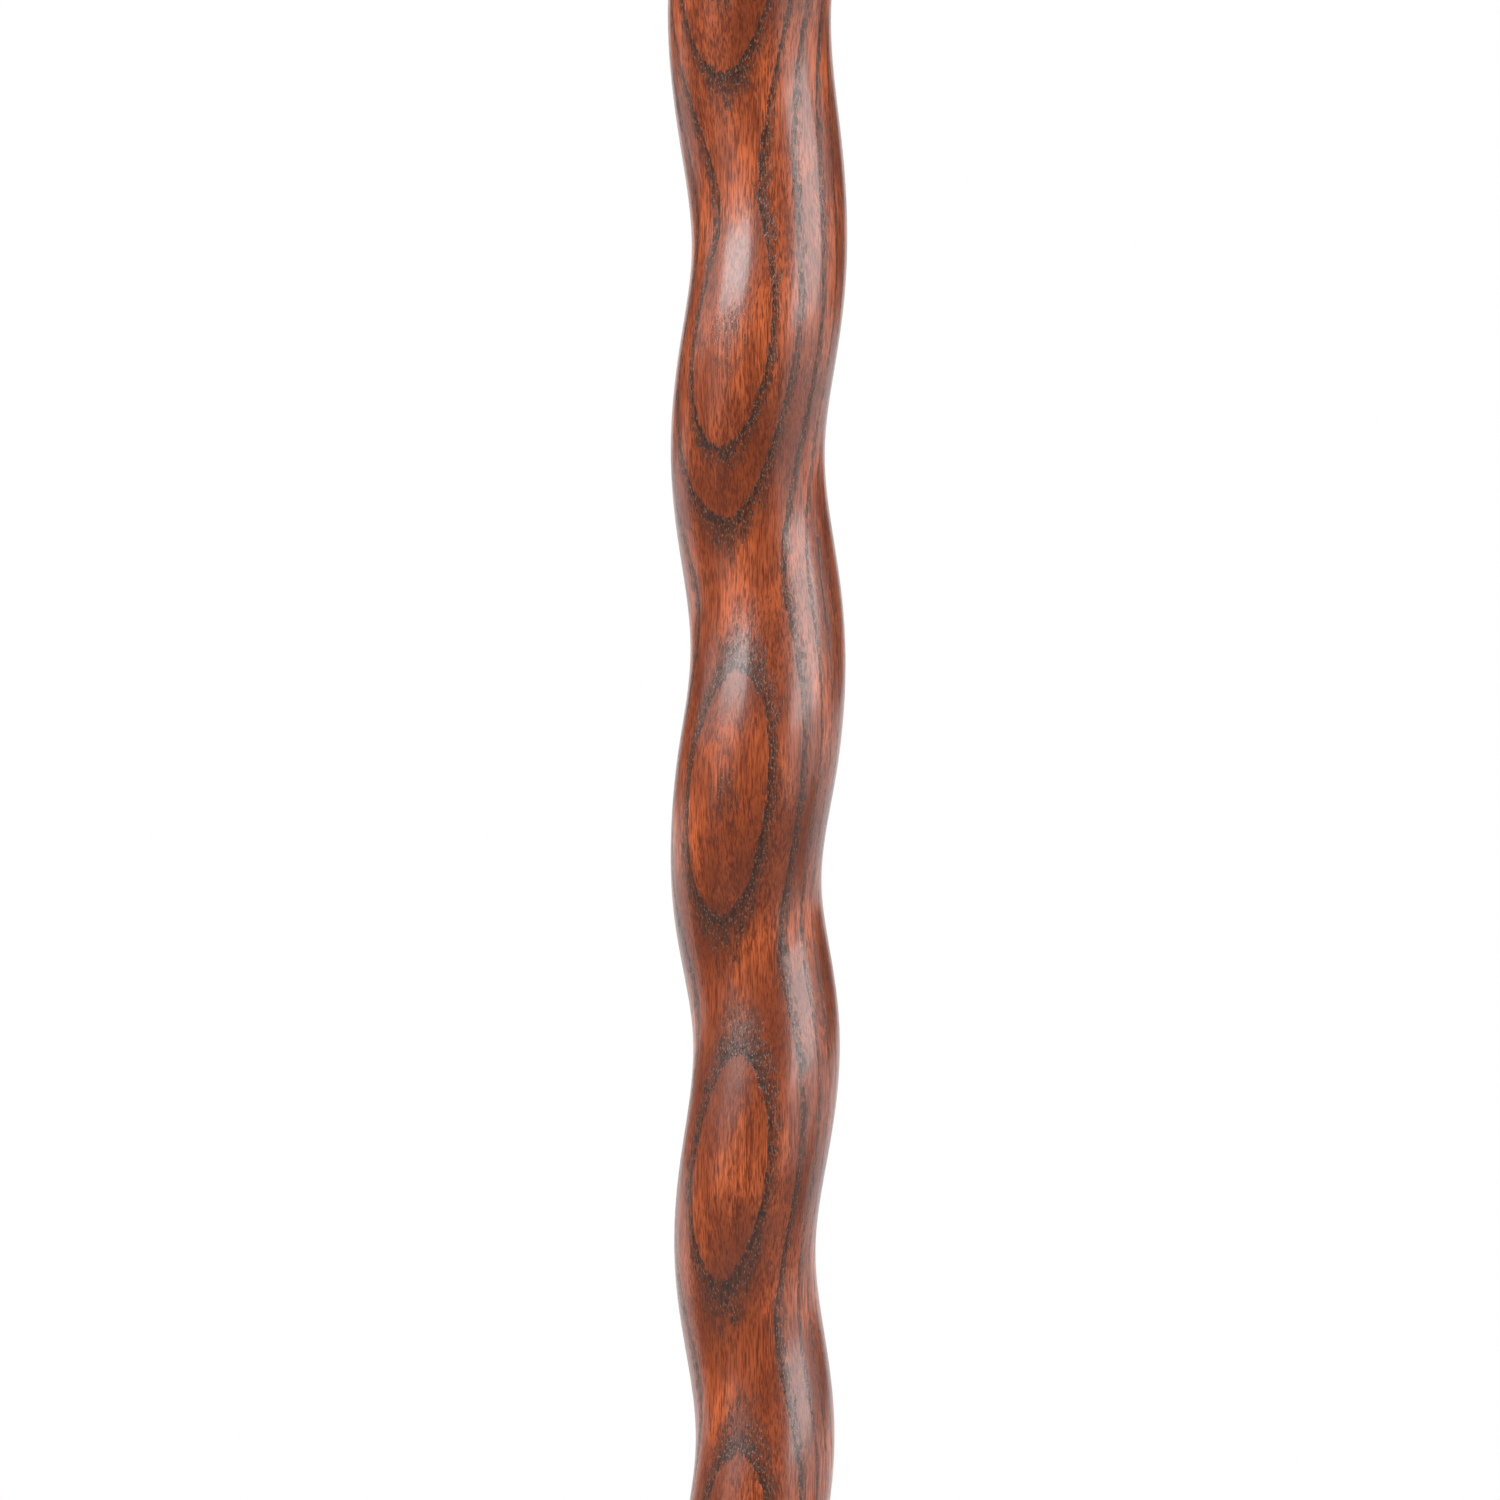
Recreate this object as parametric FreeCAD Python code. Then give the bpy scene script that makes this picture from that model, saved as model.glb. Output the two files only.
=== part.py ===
import FreeCAD, Part
import math
import os

# A wooden walking stick with a carved twist, in millimetres. The origin is the centre of the
# rubber foot's sole, +Z runs up the stick and +X is the way the handle's nose points.

# From the ground to the top of the handle's back
stick_height = 940.0

# The shaft: one tapered piece, turned plain at both ends and carved to a twist between them
tip_diameter = 18.8
head_diameter = 31.9
plain_foot = 84.0
shoulder_length = 18.0
shoulder_slope_share = 0.35

# The carved twist: its full turn, how far its centre winds off the axis, and how it dies out
twist_pitch = 68.0
twist_offset = 1.75
fade_length = 45.0

# The twist is carved by hand, so no quarter turn is quite like the next. Each pair is the quarter
# turn's length and the thickness at its start, as shares of the mean, from the foot upwards.
quarter_turn_shares = [
    (0.86, 1.001), (0.85, 1.0), (1.07, 1.005), (1.07, 1.066),
    (1.0, 1.012), (0.99, 0.999), (1.02, 0.985), (1.01, 0.994),
    (1.13, 0.97), (1.13, 1.003), (1.08, 1.001), (0.93, 1.0),
    (0.94, 0.989), (0.94, 0.985), (0.98, 0.986), (0.98, 1.003),
]
quarter_turns = 36
sections_per_quarter = 3
rim_arcs = 3

# The shaft's turned foot and top
spigot_diameter = 18.0
spigot_chamfer = 1.0
tenon_diameter = 23.0
tenon_length = 9.0
glue_gap = 0.05

# The rubber ferrule
ferrule_height = 44.0
foot_diameter = 37.0
foot_height = 8.0
foot_edge = 1.6
sleeve_wall = 3.1
sleeve_flare = 4.5
sole_thickness = 8.0
socket_clearance = 0.05
end_gap = 0.2
band_height = 6.0
band_step = 0.9
groove_radius_share = 0.58
groove_width = 2.4
groove_depth = 1.4

# The steel washer at the bottom of the socket
washer_thickness = 1.2
washer_rim_gap = 0.15

# The brass collar
collar_height = 18.0
collar_wall = 2.6
collar_edge = 0.7

# The steel stud inside the joint
stud_diameter = 8.0
stud_in_shaft = 42.0
stud_in_handle = 28.0
stud_end_gap = 1.5

# The derby handle, seen from the side as arcs that run into each other
handle_nose = 88.0
handle_tail = 40.0
handle_rise = 44.0
handle_thickness = 27.0
handle_chamfer = 7.0
chamfer_limit_share = 0.85
nose_radius = 11.0
nose_rise = 15.5
tail_radius = 11.5
tail_rise = 27.5
back_reach = 22.0
belly_reach = 40.0
belly_rise = 15.5
stem_diameter = 27.4
stem_front_radius = 12.0
stem_back_radius = 10.0
relief_slope = 2.4

# One overrun serves every cut
overrun = 1.0

# Places along the stick, worked out from the sizes above
mean_length_share = sum(length for length, thickness in quarter_turn_shares) / len(quarter_turn_shares)
quarter_shares = [quarter_turn_shares[k % len(quarter_turn_shares)] for k in range(quarter_turns)]
twist_low = ferrule_height + plain_foot
twist_length = twist_pitch / 4 * sum(length for length, thickness in quarter_shares) / mean_length_share
twist_high = twist_low + twist_length
collar_top = stick_height - handle_rise
shaft_top = collar_top - collar_height
head_height = shaft_top - shoulder_length
spigot_low = sole_thickness + washer_thickness + end_gap
collar_diameter = tenon_diameter + collar_wall + collar_wall
shoulder_diameter = collar_diameter - collar_edge

up = FreeCAD.Vector(0, 0, 1)
east = FreeCAD.Vector(1, 0, 0)


def side_point(reach, height):
    """A point in the plane y = 0."""
    return FreeCAD.Vector(reach, 0, height)


def path(*points):
    """Straight edges from each point to the next."""
    return [Part.LineSegment(a, b).toShape() for a, b in zip(points, points[1:])]


def arc(start, middle, end):
    """An arc edge through three points."""
    return Part.Arc(start, middle, end).toShape()


def arc_about(centre, start, end):
    """The shorter arc edge from start to end about centre."""
    radius = (start - centre).Length
    middle = centre + ((start - centre) + (end - centre)).normalize() * radius
    return arc(start, middle, end)


def turned(edges):
    """The solid that a closed half section sweeps round the stick's axis."""
    face = Part.Face(Part.Wire(edges))
    return face.revolve(FreeCAD.Vector(0, 0, 0), up, 360)


def rod(diameter, low, high):
    """A round rod on the stick's axis, from low to high."""
    return Part.makeCylinder(diameter / 2, high - low, FreeCAD.Vector(0, 0, low), up)


def smooth_step(share):
    """Nought below 0, one above 1, and an even curve between."""
    inside = min(max(share, 0), 1)
    return inside * inside * (3 - inside - inside)


def taper_radius(height):
    """The shaft's mean radius at a height."""
    share = (height - ferrule_height) / (head_height - ferrule_height)
    return (tip_diameter + (head_diameter - tip_diameter) * share) / 2


def twist_share(height):
    """How much of the twist is left at a height: it dies out at both ends."""
    from_foot = smooth_step((height - twist_low) / fade_length)
    from_head = smooth_step((twist_high - height) / fade_length)
    return min(from_foot, from_head)


def carved_stations():
    """(height, turn angle, thickness share, turn rate) at each quarter turn, from the foot up."""
    stations = []
    height = twist_low
    angle = 0
    for length_share, thickness in quarter_shares:
        length = twist_pitch / 4 * length_share / mean_length_share
        rate = math.pi / 2 / length
        stations.append((height, angle, thickness, rate))
        height += length
        angle += math.pi / 2
    stations.append((height, angle, thickness, rate))
    return stations


def shaft_section(height, angle, thickness, rate):
    """A round cut square to the winding stick, as a ring of equal arcs."""
    share = twist_share(height)
    offset = twist_offset * share
    radius = taper_radius(height) * (1 + (thickness - 1) * share)
    outward = FreeCAD.Vector(math.cos(angle), math.sin(angle), 0)
    along = FreeCAD.Vector(-math.sin(angle), math.cos(angle), 0)
    heading = (up + along * (offset * rate)).normalize()
    front = (east - heading * east.dot(heading)).normalize()
    side = heading.cross(front)
    centre = outward * offset + up * height
    rim = []
    for step in range(rim_arcs * 2 + 1):
        turn = math.pi * step / rim_arcs
        rim.append(centre + (front * math.cos(turn) + side * math.sin(turn)) * radius)
    starts = range(0, rim_arcs * 2, 2)
    return Part.Wire([arc(rim[start], rim[start + 1], rim[start + 2]) for start in starts])


def carved_middle():
    """The twisted part: a smooth skin over a few sections to each quarter turn."""
    stations = carved_stations()
    sections = []
    for here, following in zip(stations, stations[1:]):
        for step in range(sections_per_quarter):
            share = step / sections_per_quarter
            between = [a + (b - a) * share for a, b in zip(here, following)]
            sections.append(shaft_section(*between))
    sections.append(shaft_section(*stations[-1]))
    return Part.makeLoft(sections, True, False)


def turned_foot():
    """The plain foot of the shaft with the spigot that the ferrule goes on."""
    spigot = spigot_diameter / 2
    return turned(path(
        side_point(0, spigot_low),
        side_point(spigot - spigot_chamfer, spigot_low),
        side_point(spigot, spigot_low + spigot_chamfer),
        side_point(spigot, ferrule_height),
        side_point(tip_diameter / 2, ferrule_height),
        side_point(taper_radius(twist_low), twist_low),
        side_point(0, twist_low),
        side_point(0, spigot_low),
    ))


def turned_head():
    """The plain top of the shaft, its rounded shoulder and the tenon inside the collar."""
    wide = head_diameter / 2
    narrow = shoulder_diameter / 2
    tenon = tenon_diameter / 2 - glue_gap
    low_bend = side_point(wide, head_height)
    high_bend = side_point(narrow, shaft_top)
    bulge = side_point(wide - (wide - narrow) * shoulder_slope_share, (head_height + shaft_top) / 2)
    edges = path(side_point(0, twist_high), side_point(taper_radius(twist_high), twist_high), low_bend)
    edges.append(arc(low_bend, bulge, high_bend))
    edges += path(
        high_bend,
        side_point(tenon, shaft_top),
        side_point(tenon, shaft_top + tenon_length),
        side_point(0, shaft_top + tenon_length),
        side_point(0, twist_high),
    )
    return turned(edges)


def make_shaft():
    """The wooden stick: turned foot, carved middle and turned head, bored for the stud."""
    stick = carved_middle().fuse([turned_foot(), turned_head()])
    bore_floor = shaft_top + tenon_length - stud_in_shaft - stud_end_gap
    bore = rod(stud_diameter + glue_gap * 2, bore_floor, shaft_top + tenon_length + overrun)
    return stick.cut(bore)


def make_stud():
    """The plain steel stud that is glued into shaft and handle."""
    middle = shaft_top + tenon_length
    return rod(stud_diameter, middle - stud_in_shaft, middle + stud_in_handle)


def make_collar():
    """The brass ring over the joint, with broken edges."""
    inner = tenon_diameter / 2
    outer = collar_diameter / 2
    return turned(path(
        side_point(inner, shaft_top),
        side_point(outer - collar_edge, shaft_top),
        side_point(outer, shaft_top + collar_edge),
        side_point(outer, collar_top - collar_edge),
        side_point(outer - collar_edge, collar_top),
        side_point(inner, collar_top),
        side_point(inner, shaft_top),
    ))


def back_centre(cap, cap_radius, top):
    """Centre of the arc that lies level at the top of the back and runs into an end's cap."""
    reach = cap.x - top.x
    drop = top.z - cap.z
    radius = (reach * reach + drop * drop - cap_radius * cap_radius) / (drop - cap_radius) / 2
    return side_point(top.x, top.z - radius)


def touch_point(cap, cap_radius, centre, side):
    """Where an arc about centre meets an end's cap: side is 1 towards centre and -1 beyond."""
    return cap + (centre - cap).normalize() * (cap_radius * side)


def handle_outline():
    """The derby handle seen from the side, as arcs that run into each other."""
    base = collar_top
    stem = stem_diameter / 2
    nose = side_point(handle_nose - nose_radius, base + nose_rise)
    tail = side_point(tail_radius - handle_tail, base + tail_rise)
    top = side_point(back_reach, base + handle_rise)
    belly = side_point(belly_reach, base + belly_rise)
    belly_run = nose.x - belly.x
    belly_drop = nose.z - belly.z
    belly_square = belly_run * belly_run + belly_drop * belly_drop - nose_radius * nose_radius
    belly_centre = side_point(belly.x, belly.z - belly_square / (nose_radius - belly_drop) / 2)
    nose_low = touch_point(nose, nose_radius, belly_centre, 1)
    front_centre = back_centre(nose, nose_radius, top)
    nose_high = touch_point(nose, nose_radius, front_centre, -1)
    rear_centre = back_centre(tail, tail_radius, top)
    tail_high = touch_point(tail, tail_radius, rear_centre, -1)
    heel_run = tail.x + stem + stem_back_radius
    heel_reach = stem_back_radius + tail_radius
    heel_drop = math.sqrt(heel_reach * heel_reach - heel_run * heel_run)
    heel_centre = side_point(-stem - stem_back_radius, tail.z - heel_drop)
    tail_low = touch_point(tail, tail_radius, heel_centre, 1)
    throat_centre = side_point(stem + stem_front_radius, belly.z - stem_front_radius)
    throat_low = side_point(stem, throat_centre.z)
    throat_high = side_point(throat_centre.x, belly.z)
    heel_low = side_point(-stem, heel_centre.z)
    return Part.Wire(
        path(side_point(-stem, base), side_point(stem, base), throat_low)
        + [arc_about(throat_centre, throat_low, throat_high)]
        + path(throat_high, belly)
        + [
            arc_about(belly_centre, belly, nose_low),
            arc(nose_low, nose + east * nose_radius, nose_high),
            arc_about(front_centre, nose_high, top),
            arc_about(rear_centre, top, tail_high),
            arc(tail_high, tail - east * tail_radius, tail_low),
            arc_about(heel_centre, tail_low, heel_low),
        ]
        + path(heel_low, side_point(-stem, base))
    )


def handle_blank():
    """The side view sawn from a board, with broad chamfers along both its edges."""
    half = FreeCAD.Vector(0, handle_thickness / 2, 0)
    side = Part.Face(handle_outline())
    side.translate(-half)
    blank = side.extrude(half + half)
    bevelled = []
    for edge in blank.Edges:
        box = edge.BoundBox
        if box.YLength < glue_gap and box.ZMax > collar_top + glue_gap:
            bevelled.append(edge)
    tightest = min(nose_radius, tail_radius, handle_thickness / 2)
    return blank.makeChamfer(min(handle_chamfer, tightest * chamfer_limit_share), bevelled)


def stem_relief():
    """What the lathe takes off the stem's corners: a ring under a sloping roof."""
    stem = stem_diameter / 2
    corner = math.hypot(stem, handle_thickness / 2)
    bend = collar_top + belly_rise - stem_front_radius
    return turned(path(
        side_point(stem, collar_top - overrun),
        side_point(stem, bend),
        side_point(corner, bend + (corner - stem) * relief_slope),
        side_point(corner, collar_top - overrun),
        side_point(stem, collar_top - overrun),
    ))


def make_handle():
    """The wooden derby handle with its tenon and the blind bore for the stud."""
    body = handle_blank().cut(stem_relief())
    tenon_low = shaft_top + tenon_length
    tenon = rod(tenon_diameter - glue_gap * 2, tenon_low, collar_top + overrun)
    bore_top = tenon_low + stud_in_handle + stud_end_gap
    bore = rod(stud_diameter + glue_gap * 2, tenon_low - overrun, bore_top)
    return body.fuse(tenon).cut(bore)


def make_ferrule():
    """The rubber tip: grooved sole, broad foot, sleeve with a thick mouth, open socket."""
    foot = foot_diameter / 2
    inner = spigot_diameter / 2 + socket_clearance
    sleeve = inner + sleeve_wall
    groove = foot * groove_radius_share
    band = sleeve + band_step
    return turned(path(
        side_point(0, 0),
        side_point(groove - groove_width / 2, 0),
        side_point(groove - groove_width / 2, groove_depth),
        side_point(groove + groove_width / 2, groove_depth),
        side_point(groove + groove_width / 2, 0),
        side_point(foot - foot_edge, 0),
        side_point(foot, foot_edge),
        side_point(foot, foot_height),
        side_point(sleeve, foot_height + sleeve_flare),
        side_point(sleeve, ferrule_height - band_height),
        side_point(band, ferrule_height - band_height),
        side_point(band, ferrule_height),
        side_point(inner, ferrule_height),
        side_point(inner, sole_thickness),
        side_point(0, sole_thickness),
        side_point(0, 0),
    ))


def make_washer():
    """The steel disc between the wood and the rubber."""
    diameter = spigot_diameter - washer_rim_gap * 2
    return rod(diameter, sole_thickness, sole_thickness + washer_thickness)


pieces = {
    "shaft": make_shaft,
    "handle": make_handle,
    "collar": make_collar,
    "handle_stud": make_stud,
    "ferrule": make_ferrule,
    "ferrule_washer": make_washer,
}

os.makedirs("parts", exist_ok=True)
for name, make in pieces.items():
    shape = make()
    shape.exportStep(os.path.join("parts", name + ".step"))
    print(name, "solids", len(shape.Solids), "valid", shape.isValid(), "volume", round(shape.Volume))
print("height", round(stick_height, 2), "twist from", round(twist_low, 2), "to", round(twist_high, 2))
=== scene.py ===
# %% [markdown]
# # A carved walking stick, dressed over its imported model
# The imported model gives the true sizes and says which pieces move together. Everything below is
# built in metres in that frame: the stick stands on the centre of its rubber foot, +Z is up
# and +X is the way the handle's nose points. So every new piece is drawn where it belongs.
#
# The stick has six pieces. Four are made here: shaft, handle, collar and ferrule. The stud and
# the ferrule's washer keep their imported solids.

# %% Load the frame
import math

import bmesh
import bpy
from mathutils import Matrix, Vector


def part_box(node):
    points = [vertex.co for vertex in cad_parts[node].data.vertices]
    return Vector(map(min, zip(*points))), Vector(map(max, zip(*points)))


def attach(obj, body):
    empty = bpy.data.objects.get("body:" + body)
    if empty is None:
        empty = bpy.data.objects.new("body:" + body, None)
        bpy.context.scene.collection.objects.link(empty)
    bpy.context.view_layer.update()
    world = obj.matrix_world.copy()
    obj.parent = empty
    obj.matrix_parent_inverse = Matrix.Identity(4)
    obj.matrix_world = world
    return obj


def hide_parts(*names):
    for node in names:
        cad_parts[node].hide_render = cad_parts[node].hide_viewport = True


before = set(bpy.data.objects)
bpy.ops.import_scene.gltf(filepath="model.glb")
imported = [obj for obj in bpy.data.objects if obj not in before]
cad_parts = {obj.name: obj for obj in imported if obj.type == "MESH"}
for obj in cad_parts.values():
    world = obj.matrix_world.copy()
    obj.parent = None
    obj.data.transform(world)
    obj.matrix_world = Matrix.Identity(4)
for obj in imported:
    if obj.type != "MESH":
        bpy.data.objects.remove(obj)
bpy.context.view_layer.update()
print("nodes:", sorted(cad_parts))

# %% [markdown]
# ## Places taken from the frame
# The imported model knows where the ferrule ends, where the collar sits and how high the handle
# reaches. Reading these places keeps the looks and the solids together if a size ever changes.

# %% Places along the stick
mm = 0.001
shaft_low, shaft_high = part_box("shaft")
handle_low, handle_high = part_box("handle")
collar_low, collar_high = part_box("collar")
sole_low, sole_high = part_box("ferrule")
washer_low, washer_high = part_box("ferrule_washer")
ferrule_top = sole_high.z
shaft_shoulder = collar_low.z
handle_base = collar_high.z
collar_radius = (collar_high.x - collar_low.x) / 2
print("ferrule up to", round(ferrule_top, 4), "with its washer at", round(washer_high.z, 4))
print("collar from", round(shaft_shoulder, 4), "to", round(handle_base, 4))

# %% [markdown]
# ## From a mesh in the making to a piece
# A shape is made in a bmesh, which is a mesh on the bench. When it is done it becomes a mesh, and
# an object holds that mesh in the scene. Each piece ends the same way: its doubles are merged, its
# faces are turned outwards, soft edges are shaded smooth and sharp ones are kept crisp, and it is
# told which body carries it. The functions below do this for all of them.

# %% From the bench into the scene
merge_distance = 0.002 * mm


def off_the_bench(bm, name):
    """Turns a bmesh into a mesh and clears the bench."""
    mesh = bpy.data.meshes.new(name)
    bm.to_mesh(mesh)
    bm.free()
    return mesh


def put_in_scene(name, data):
    """An object at the origin that holds a mesh, a lamp or a camera."""
    thing = bpy.data.objects.new(name, data)
    bpy.context.scene.collection.objects.link(thing)
    return thing


def merge_and_turn_out(bm):
    """Merges doubled corners and turns every face outwards."""
    bmesh.ops.remove_doubles(bm, verts=bm.verts, dist=merge_distance)
    bmesh.ops.recalc_face_normals(bm, faces=bm.faces)


# %% Finish a piece
def note_cut_across(bm, grain):
    """Writes on every corner how squarely the surface cuts the grain: 0 along it, 1 across."""
    bm.normal_update()
    note = bm.verts.layers.float.new("cut_across")
    for corner in bm.verts:
        corner[note] = abs(corner.normal.dot(grain))


def finish_piece(bm, name, body, material, crisp_angle, stands_for):
    """Turns a bmesh into an object that rides on a body and stands for a CAD node."""
    for face in bm.faces:
        face.smooth = True
    for edge in bm.edges:
        edge.smooth = edge.calc_face_angle(0) < math.radians(crisp_angle)
    mesh = off_the_bench(bm, name)
    mesh.materials.append(material)
    piece = put_in_scene(name, mesh)
    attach(piece, body)
    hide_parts(stands_for)
    print(name, "faces:", len(mesh.polygons))


# %% [markdown]
# ## Writing a material as a recipe
# A procedural material is arithmetic on positions, and arithmetic reads best as an expression. The
# first class below wraps one socket, so that `1 - mask * 0.5` adds its own Math nodes. Colours
# never go through it, because a Math node would turn them grey: they are mixed by Mix nodes. The
# second class holds the node tree. Everything that isn't plain maths comes from its `node` method,
# which sets a node's settings first and then feeds its sockets.

# %% Sockets that can be added and multiplied
class Strand:
    """One number on its way through a material."""

    def __init__(self, recipe, socket):
        self.recipe = recipe
        self.socket = socket

    def maths(self, operation, *values):
        settings = {"operation": operation}
        return self.recipe.strand("ShaderNodeMath", settings, dict(enumerate(values)))

    def __add__(self, other):
        return self.maths("ADD", self, other)

    def __sub__(self, other):
        return self.maths("SUBTRACT", self, other)

    def __rsub__(self, other):
        return self.maths("SUBTRACT", other, self)

    def __mul__(self, other):
        return self.maths("MULTIPLY", self, other)

    def __truediv__(self, other):
        return self.maths("DIVIDE", self, other)

    def __rtruediv__(self, other):
        return self.maths("DIVIDE", other, self)

    __radd__ = __add__
    __rmul__ = __mul__

    def root(self):
        return self.maths("SQRT", self)

    def cosine(self):
        return self.maths("COSINE", self)

    def fraction(self):
        return self.maths("FRACT", self)

    def at_least(self, other):
        return self.maths("MAXIMUM", self, other)

    def fade(self, start, end):
        """One at start, nought at end, with an even curve between."""
        settings = {"interpolation_type": "SMOOTHSTEP"}
        span = {"From Min": start, "From Max": end, "To Min": 1.0, "To Max": 0.0}
        return self.recipe.strand("ShaderNodeMapRange", settings, {"Value": self, **span})

    def wave(self, peak, length):
        """A smooth wave from -1 to 1, highest at peak and at every length from there."""
        return ((self - peak) * (2 * math.pi / length)).cosine()


# %% The node tree of a material
class Recipe:
    """A material, written node by node."""

    def __init__(self, name):
        self.material = bpy.data.materials.new(name)
        self.begin(self.material, "ShaderNodeBsdfPrincipled", "ShaderNodeOutputMaterial")

    def begin(self, owner, shader, output):
        """Clears the owner's tree and joins a new shader to its output."""
        owner.use_nodes = True
        self.tree = owner.node_tree
        self.tree.nodes.clear()
        self.shader = self.node(shader)
        self.tree.links.new(self.shader.outputs[0], self.node(output).inputs["Surface"])

    def feed(self, socket, value):
        """Links a socket to what feeds it, or gives it a plain value."""
        if isinstance(value, Strand):
            value = value.socket
        if isinstance(value, bpy.types.NodeSocket):
            self.tree.links.new(value, socket)
        else:
            socket.default_value = value

    def node(self, kind, settings=None, sockets=None):
        """Adds one node: its settings first, then the values or links of its sockets."""
        made = self.tree.nodes.new(kind)
        for name, value in (settings or {}).items():
            setattr(made, name, value)
        for name, value in (sockets or {}).items():
            self.feed(made.inputs[name], value)
        return made

    def strand(self, kind, settings=None, sockets=None, output=0):
        """Adds one node and wraps one of its outputs."""
        return Strand(self, self.node(kind, settings, sockets).outputs[output])

    def set(self, **values):
        """Feeds the shader's own sockets, by their names with underscores for spaces."""
        for name, value in values.items():
            self.feed(self.shader.inputs[name.replace("_", " ")], value)

    def bump(self, height):
        """A normal from a height in millimetres."""
        return self.node("ShaderNodeBump", None, {"Height": height, "Distance": mm}).outputs[0]

    def blend(self, share, first, second):
        """The first colour where share is nought, the second where it is one."""
        settings = {"data_type": "RGBA", "blend_type": "MIX", "clamp_factor": True}
        return self.node("ShaderNodeMix", settings, {0: share, 6: first, 7: second}).outputs[2]


# %% [markdown]
# ### Patterns that hold at any size
# Every pattern starts from the place on the piece in millimetres, in Object coordinates, so that it
# stays put when the stick moves. A noise or a scatter of points is then squeezed to the size that
# one patch of it has on the real surface: wood fibres are a quarter of a millimetre wide and
# several long.

# %% Places, noise and scattered points
class PatternRecipe(Recipe):
    """A recipe whose patterns have their sizes in millimetres."""

    def place(self, turn=(0, 0, 0)):
        """The place on the piece in millimetres, turned to suit its pattern."""
        here = self.node("ShaderNodeTexCoord").outputs["Object"]
        to_mm = (1 / mm,) * 3
        sockets = {"Vector": here, "Rotation": turn, "Scale": to_mm}
        return self.node("ShaderNodeMapping", {"vector_type": "POINT"}, sockets).outputs[0]

    def apart(self, place):
        """The three numbers of a place."""
        split = self.node("ShaderNodeSeparateXYZ", None, {0: place})
        return [Strand(self, socket) for socket in split.outputs]

    def squeezed(self, place, size):
        """The place counted in cells of a size."""
        sockets = {0: place, 1: tuple(1 / length for length in size)}
        return self.node("ShaderNodeVectorMath", {"operation": "MULTIPLY"}, sockets).outputs[0]

    def noise(self, place, size, detail=2.0, roughness=0.5):
        """Soft noise from 0 to 1 whose patches have a size."""
        sockets = {
            "Vector": self.squeezed(place, size), "Scale": 1.0,
            "Detail": detail, "Roughness": roughness,
        }
        return self.strand("ShaderNodeTexNoise", {"noise_dimensions": "3D"}, sockets)

    def cells(self, place, size):
        """Distance to the nearest of many scattered points, one to a cell of a size."""
        sockets = {"Vector": self.squeezed(place, size), "Scale": 1.0, "Randomness": 1.0}
        settings = {"voronoi_dimensions": "3D"}
        return self.strand("ShaderNodeTexVoronoi", settings, sockets, "Distance")


def swatch(red, green, blue):
    """A colour as a painter's swatch shows it, 0 to 255, as the light that Blender mixes."""
    shares = [part / 255 for part in (red, green, blue)]
    light = [s / 12.92 if s <= 0.04045 else ((s + 0.055) / 1.055) ** 2.4 for s in shares]
    return (*light, 1.0)


print("a mid brown of the stain as light:", [round(part, 3) for part in swatch(150, 75, 45)[:3]])

# %% [markdown]
# ## The stained ash
# Ash grows a ring of wide pores each spring and dense wood each summer. Sawn and carved, the rings
# show as contour lines: every bump that the carver left cuts them as an oval. So the figure isn't
# painted on. It is worked out in space, as the distance from the tree's heart, and the carved
# surface cuts through it as the gouge did. The heart lay about 120 mm in front of this blank and to
# its left.
#
# A tree is never a perfect cone of rings. Its trunk was bent a little, leaned further up and
# swelled round a knot, good and slow years came in turns, and the young rings are wider. Each of
# these is one term below. A ripple and a fine serration keep the rings from looking too even.

# %% How the trees grew, in millimetres
shaft_board = {
    "turn": (0, 0, 0), "heart": (-43.6, -111.5),
    "lean_from": 477, "lean": 0.0565, "knot_at": 463, "knot_swell": 0.95,
}
handle_board = {
    "turn": (0, math.radians(90), 0), "heart": (985, -38),
    "lean_from": 900, "lean": 0, "knot_at": 0, "knot_swell": 0,
}
ring_width = 3.28
first_ring = 102.1
bend_peak, bend_length, bend_depth = 446, 320, 1.1
knot_spread = 1400
ripple_size, ripple_depth = (2.2, 2.2, 7), 0.35
serration_size, serration_depth = (0.5, 0.5, 3.5), 0.6
years_peak, years_length, years_depth = 107.3, 15.5, 0.7
young_until, young_widening = 104, 0.065


# %% Growth rings around the tree's heart
def ring_count(wood, place, board):
    """How many rings lie between the tree's heart and this place."""
    x, y, z = wood.apart(place)
    ripple = wood.noise(place, ripple_size, 2.0) - 0.5
    serration = wood.noise(place, serration_size, 2.0, 0.7) - 0.5
    from_knot = (z - board["knot_at"]) * (z - board["knot_at"])
    away_x = x - board["heart"][0] + z.wave(bend_peak, bend_length) * bend_depth
    away_y = (
        y - board["heart"][1] - (z - board["lean_from"]).at_least(0) * board["lean"]
        + from_knot.fade(0, knot_spread) * board["knot_swell"]
    )
    straight = (away_x * away_x + away_y * away_y).root()
    distance = straight + ripple * ripple_depth + serration * serration_depth
    good_and_slow = distance.wave(years_peak, years_length) * years_depth
    wider = (young_until - distance).at_least(0) * young_widening
    return (distance + good_and_slow - first_ring) / ring_width + wider


# %% [markdown]
# ### Spring and summer in one ring
# The fraction of the ring count says how far into its year a place grew. The year starts with a
# dark line, then comes a band crowded with wide pores, and the pores thin out into summer wood. In
# the outer rings the spring band is narrower. None of these edges is even, so the same patchy noise
# moves all three, and dashes break the dark line up.

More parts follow.
